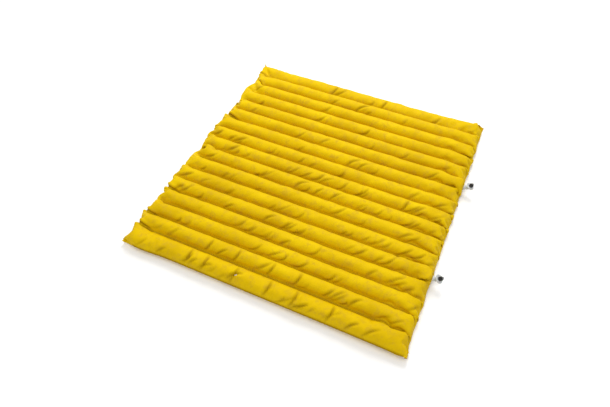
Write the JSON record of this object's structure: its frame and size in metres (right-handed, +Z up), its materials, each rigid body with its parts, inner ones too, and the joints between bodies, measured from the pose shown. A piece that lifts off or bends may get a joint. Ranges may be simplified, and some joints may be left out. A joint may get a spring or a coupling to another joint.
{
  "type": "inflatable sleeping pad",
  "caption": "Inflatable sleeping pad: parallel air tubes in a quilted fabric cover, with two twist valves on short necks at one end.",
  "frame": {"origin": "on the ground under the middle of the pad, on the flat where the middle tube rests", "axes": "+X along the tubes towards the valves, +Y across the tubes towards the first tube, +Z up"},
  "size_m": [1.0228, 1.028, 0.0577],
  "materials": {
    "cover_fabric": "matte",
    "thread": "matte",
    "bladder_film": "satin",
    "link_plastic": "satin",
    "valve_white": "satin",
    "valve_black": "matte"
  },
  "bodies": {
    "pad": {"cover_top": "cover_fabric", "cover_bottom": "cover_fabric", "groove_stitching": "thread", "air_bladder_01": "bladder_film", "air_bladder_02": "bladder_film", "air_bladder_03": "bladder_film", "air_bladder_04": "bladder_film", "air_bladder_05": "bladder_film", "air_bladder_06": "bladder_film", "air_bladder_07": "bladder_film", "air_bladder_08": "bladder_film", "air_bladder_09": "bladder_film", "air_bladder_10": "bladder_film", "air_bladder_11": "bladder_film", "air_bladder_12": "bladder_film", "air_bladder_13": "bladder_film", "air_bladder_14": "bladder_film", "air_bladder_15": "bladder_film", "air_bladder_16": "bladder_film", "air_bladder_17": "bladder_film", "air_link_01_02": "link_plastic", "air_link_02_03": "link_plastic", "air_link_03_04": "link_plastic", "air_link_04_05": "link_plastic", "air_link_05_06": "link_plastic", "air_link_06_07": "link_plastic", "air_link_07_08": "link_plastic", "air_link_08_09": "link_plastic", "air_link_10_11": "link_plastic", "air_link_11_12": "link_plastic", "air_link_12_13": "link_plastic", "air_link_13_14": "link_plastic", "air_link_14_15": "link_plastic", "air_link_15_16": "link_plastic", "air_link_16_17": "link_plastic", "valve_a_boot": "link_plastic", "valve_a_neck": "valve_white", "valve_a_base": "valve_white", "valve_a_post": "valve_white", "valve_b_boot": "link_plastic", "valve_b_neck": "valve_white", "valve_b_base": "valve_white", "valve_b_post": "valve_white"},
    "valve_a_lift_body": {"valve_a_seal": "valve_black"},
    "valve_a_cap_body": {"valve_a_cap": "valve_black"},
    "valve_b_lift_body": {"valve_b_seal": "valve_black"},
    "valve_b_cap_body": {"valve_b_cap": "valve_black"}
  },
  "joints": [
    {"name": "valve_a_lift", "type": "slide", "parent": "pad", "child": "valve_a_lift_body", "axis": [0.4226, 0, 0.9063], "range_m": [0, 0.003]},
    {"name": "valve_a_turn", "type": "hinge", "parent": "valve_a_lift_body", "child": "valve_a_cap_body", "pos_m": [0.51338, 0.18, 0.03971], "axis": [0.4226, 0, 0.9063], "range_deg": [0, 361]},
    {"name": "valve_b_lift", "type": "slide", "parent": "pad", "child": "valve_b_lift_body", "axis": [0.6428, 0, 0.766], "range_m": [0, 0.003]},
    {"name": "valve_b_turn", "type": "hinge", "parent": "valve_b_lift_body", "child": "valve_b_cap_body", "pos_m": [0.5123, -0.24, 0.03607], "axis": [0.6428, 0, 0.766], "range_deg": [0, 361]}
  ],
  "couplings": [
    {"joint": "valve_a_turn", "follows": "valve_a_lift", "rad_per_m": 2094.4},
    {"joint": "valve_b_turn", "follows": "valve_b_lift", "rad_per_m": 2094.4}
  ]
}
